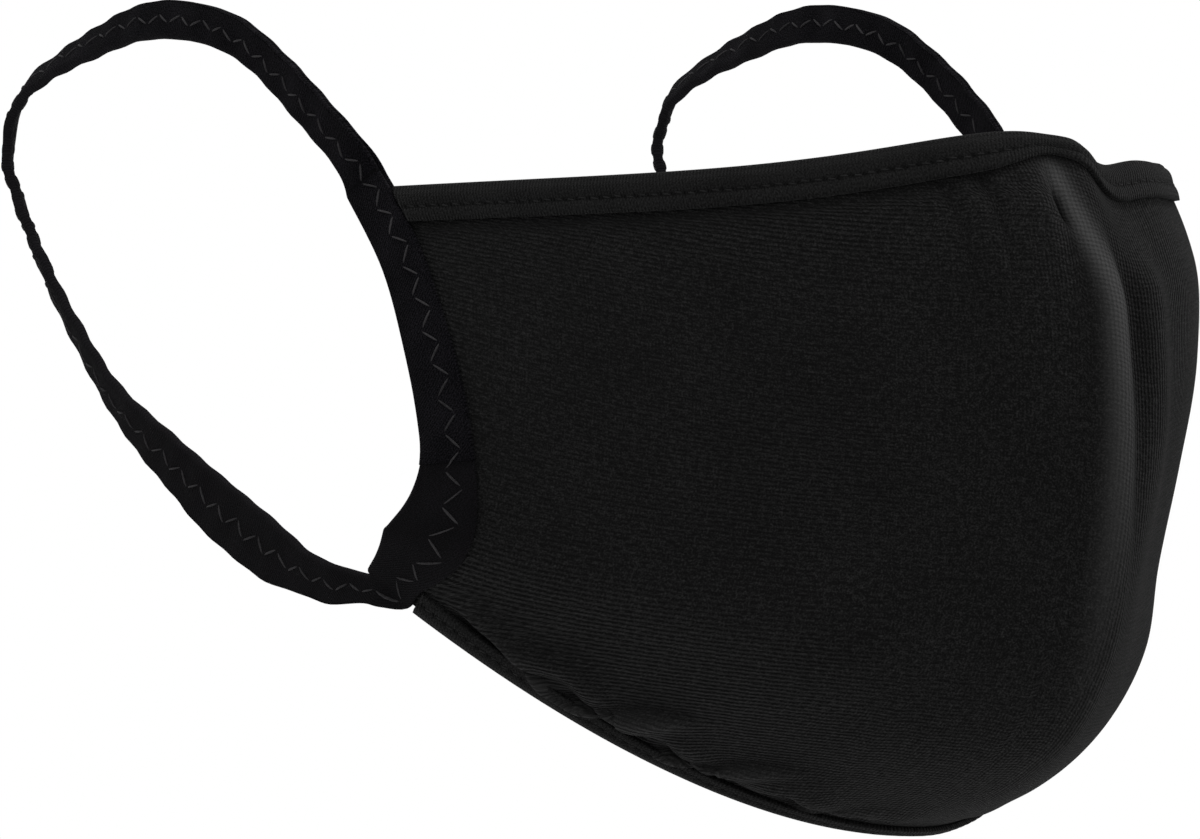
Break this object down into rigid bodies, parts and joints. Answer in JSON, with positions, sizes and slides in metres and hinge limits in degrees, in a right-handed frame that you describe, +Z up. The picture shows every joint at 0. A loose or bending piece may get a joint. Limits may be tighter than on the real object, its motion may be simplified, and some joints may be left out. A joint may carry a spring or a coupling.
{
  "type": "cloth face mask",
  "caption": "Black knit cloth face mask, a cupped panel with bound nose and chin edges and two folded tape ear loops, in the form it takes when worn.",
  "frame": {"origin": "where the inside face of the nose binding rests on the bridge of the nose, on the mask's centre line at the cloth's upper edge", "axes": "+Z up, +Y back toward the face and ears, so the front of the mask faces -Y, and +X to the wearer's left"},
  "size_m": [0.1499, 0.2123, 0.1383],
  "materials": {
    "panel_cloth": "matt fine black jersey",
    "hem_cloth": "matt black jersey, folded and stitched",
    "loop_tape": "matt black stretch tape with zigzag stitching"
  },
  "bodies": {
    "root": {"mask_panel": "panel_cloth", "nose_binding": "hem_cloth", "chin_binding": "hem_cloth", "ear_loop_right": "loop_tape", "ear_loop_left": "loop_tape"}
  },
  "joints": []
}
